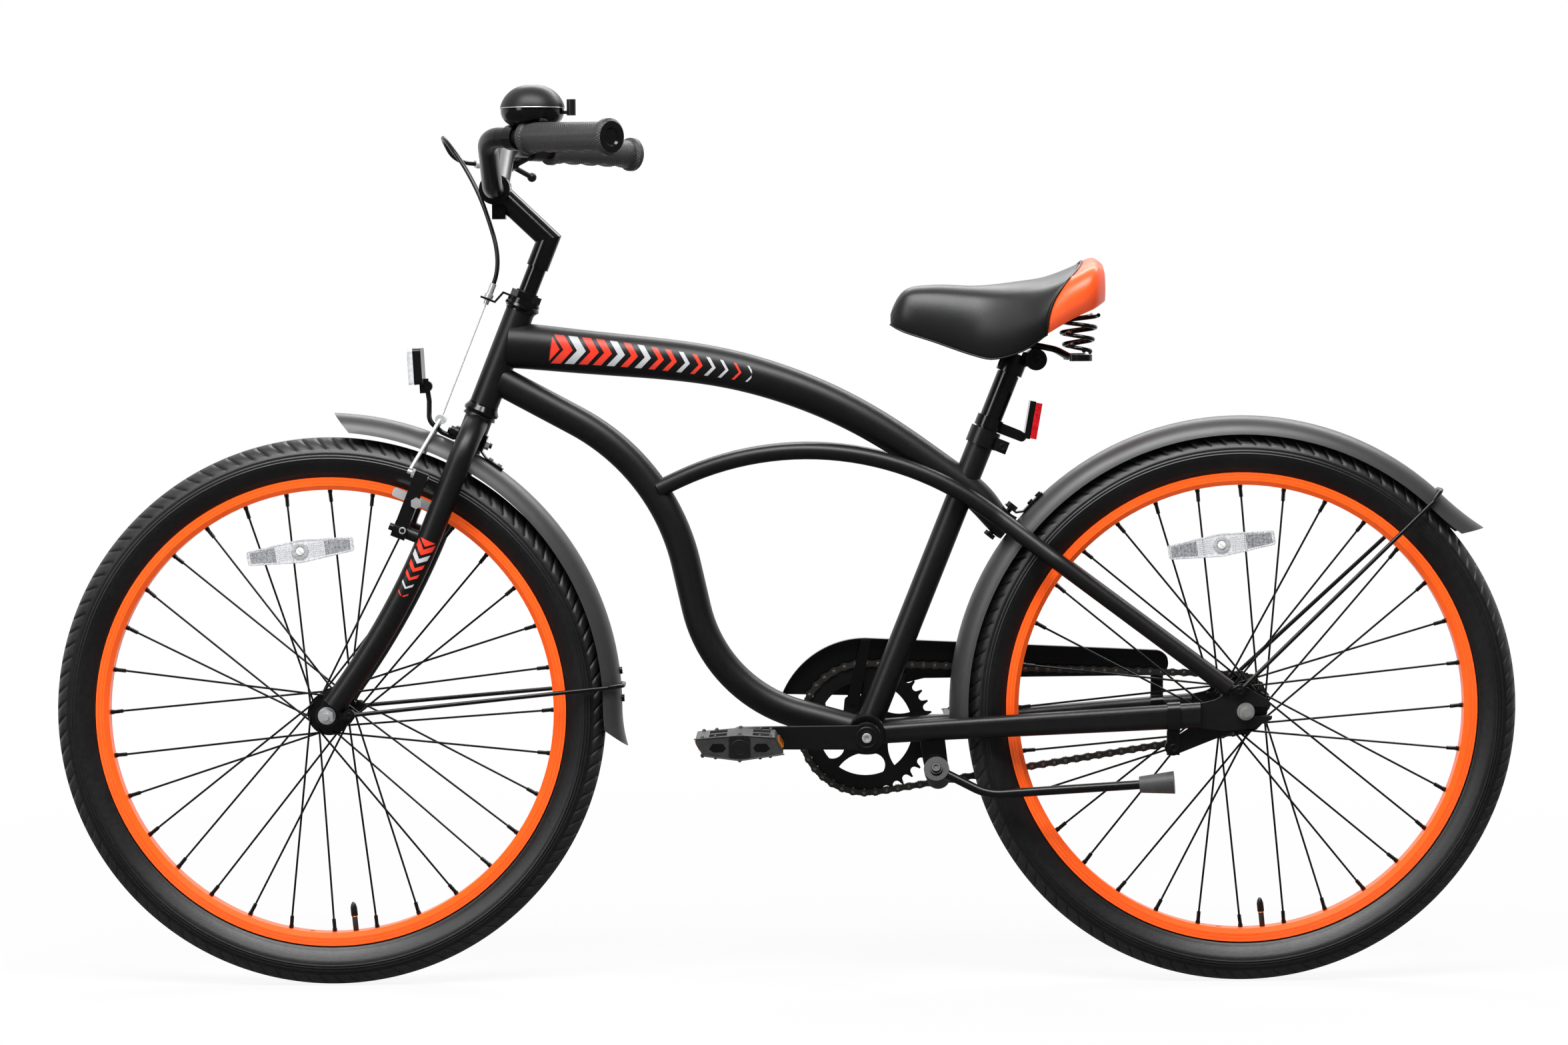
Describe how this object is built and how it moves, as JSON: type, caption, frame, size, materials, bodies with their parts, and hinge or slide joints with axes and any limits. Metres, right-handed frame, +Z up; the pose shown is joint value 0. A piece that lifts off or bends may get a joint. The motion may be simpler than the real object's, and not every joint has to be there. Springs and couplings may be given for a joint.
{
  "type": "bicycle",
  "caption": "Step-over beach cruiser with curved frame tubes, balloon tyres, sprung saddle, fenders, chain drive, cantilever front brake, bell and folding side stand.",
  "frame": {"origin": "on the ground midway between the two axles, in the middle plane", "axes": "-X forward, +Y to the drive side, +Z up"},
  "size_m": [1.62, 0.6174, 0.9891],
  "materials": {
    "frame_paint": "matte black paint",
    "fender_paint": "satin black paint",
    "gloss_black": "gloss black",
    "rim_orange": "gloss orange",
    "tyre_rubber": "matte",
    "spoke_black": "gloss black",
    "zinc_steel": "zinc plated",
    "chain_steel": "oiled dark steel",
    "clear_lens": "clear prismatic",
    "red_lens": "red prismatic",
    "amber_lens": "amber prismatic",
    "black_plastic": "moulded",
    "grip_rubber": "textured",
    "saddle_vinyl": "black vinyl",
    "saddle_panel": "orange vinyl"
  },
  "bodies": {
    "frame": {"head_tube": "frame_paint", "top_tube": "frame_paint", "down_tube": "frame_paint", "seat_tube": "frame_paint", "bottom_bracket_shell": "frame_paint", "stay_tubes": "frame_paint", "chainstays": "frame_paint", "bearing_cups": "gloss_black", "seat_clamp": "gloss_black", "rear_fender": "fender_paint", "rear_fender_stay": "fender_paint", "chain_guard": "gloss_black", "chain": "chain_steel", "kickstand_bracket": "gloss_black", "rear_axle": "zinc_steel", "coaster_arm": "gloss_black"},
    "steering": {"fork": "frame_paint", "headset_stack": "gloss_black", "stem": "gloss_black", "handlebar": "gloss_black", "grips": "grip_rubber", "bell_base": "black_plastic", "bell_dome": "gloss_black", "brake_bracket": "black_plastic", "brake_cable": "black_plastic", "front_fender": "fender_paint", "front_fender_stay": "fender_paint", "crown_bracket": "zinc_steel", "front_reflector_lens": "clear_lens", "front_axle": "zinc_steel"},
    "front_wheel": {"front_tyre": "tyre_rubber", "front_rim": "rim_orange", "front_spokes": "spoke_black", "front_hub": "gloss_black", "front_wheel_reflector": "clear_lens"},
    "rear_wheel": {"rear_tyre": "tyre_rubber", "rear_rim": "rim_orange", "rear_spokes": "spoke_black", "rear_hub": "gloss_black", "rear_wheel_reflector": "clear_lens"},
    "crank": {"cranks": "gloss_black", "chainring": "gloss_black"},
    "driver": {"rear_sprocket": "zinc_steel"},
    "left_pedal": {"pedal_left": "black_plastic", "pedal_left_reflectors": "amber_lens"},
    "right_pedal": {"pedal_right": "black_plastic", "pedal_right_reflectors": "amber_lens"},
    "seat": {"seatpost": "gloss_black", "rear_reflector_lens": "red_lens", "saddle_frame": "gloss_black", "saddle_cushion": "saddle_vinyl", "saddle_rear_panel": "saddle_panel", "saddle_springs": "gloss_black"},
    "kickstand": {"kickstand_leg": "gloss_black", "kickstand_foot": "grip_rubber"},
    "bell_thumb": {"bell_lever": "black_plastic"},
    "brake_handle": {"brake_lever": "gloss_black"},
    "left_brake": {"brake_arm_left": "zinc_steel"},
    "right_brake": {"brake_arm_right": "zinc_steel"},
    "brake_pull": {"brake_carrier": "zinc_steel"}
  },
  "joints": [
    {"name": "steering_turn", "type": "hinge", "parent": "frame", "child": "steering", "pos_m": [-0.333, 0, 0.645], "axis": [0.3706, 0, 0.9288], "range_deg": [-75, 75]},
    {"name": "front_wheel_spin", "type": "hinge", "parent": "steering", "child": "front_wheel", "pos_m": [-0.505, 0, 0.305], "axis": [0, 1, 0], "continuous": true},
    {"name": "rear_wheel_spin", "type": "hinge", "parent": "frame", "child": "rear_wheel", "pos_m": [0.505, 0, 0.305], "axis": [0, 1, 0], "continuous": true},
    {"name": "crank_spin", "type": "hinge", "parent": "frame", "child": "crank", "pos_m": [0.08869, 0, 0.279], "axis": [0, 1, 0], "continuous": true, "deforming": ["chain"]},
    {"name": "driver_spin", "type": "hinge", "parent": "frame", "child": "driver", "pos_m": [0.505, 0, 0.305], "axis": [0, 1, 0], "continuous": true, "deforming": ["chain"]},
    {"name": "left_pedal_spin", "type": "hinge", "parent": "crank", "child": "left_pedal", "pos_m": [-0.04931, -0.12, 0.279], "axis": [0, 1, 0], "continuous": true},
    {"name": "right_pedal_spin", "type": "hinge", "parent": "crank", "child": "right_pedal", "pos_m": [0.22669, 0.12, 0.279], "axis": [0, 1, 0], "continuous": true},
    {"name": "seat_height", "type": "slide", "parent": "frame", "child": "seat", "axis": [0.373, 0, 0.9278], "range_m": [0, 0.08]},
    {"name": "kickstand_fold", "type": "hinge", "parent": "frame", "child": "kickstand", "pos_m": [0.167, -0.027, 0.236], "axis": [0.095, 0.893, -0.44], "range_deg": [0, 95]},
    {"name": "bell_flick", "type": "hinge", "parent": "steering", "child": "bell_thumb", "pos_m": [-0.249, -0.19, 0.94554], "axis": [0, 0, 1], "range_deg": [0, 25], "stiffness_Nm_per_rad": 0.08},
    {"name": "brake_squeeze", "type": "hinge", "parent": "steering", "child": "brake_handle", "pos_m": [-0.31997, 0.19516, 0.91624], "axis": [0, 0, -1], "range_deg": [0, 25], "stiffness_Nm_per_rad": 0.3},
    {"name": "left_brake_close", "type": "hinge", "parent": "steering", "child": "left_brake", "pos_m": [-0.42294, -0.045, 0.50862], "axis": [-0.9288, 0, 0.3706], "range_deg": [0, 1.9]},
    {"name": "right_brake_close", "type": "hinge", "parent": "steering", "child": "right_brake", "pos_m": [-0.42294, 0.045, 0.50862], "axis": [0.9288, 0, -0.3706], "range_deg": [0, 1.9]},
    {"name": "brake_lift", "type": "slide", "parent": "steering", "child": "brake_pull", "axis": [0.3706, 0, 0.9288], "range_m": [0, 0.00148]}
  ],
  "couplings": [
    {"joint": "driver_spin", "follows": "crank_spin", "ratio": 2.25},
    {"joint": "brake_squeeze", "follows": "brake_lift", "rad_per_m": 294.8},
    {"joint": "left_brake_close", "follows": "brake_lift", "rad_per_m": 22.4},
    {"joint": "right_brake_close", "follows": "brake_lift", "rad_per_m": 22.4}
  ]
}
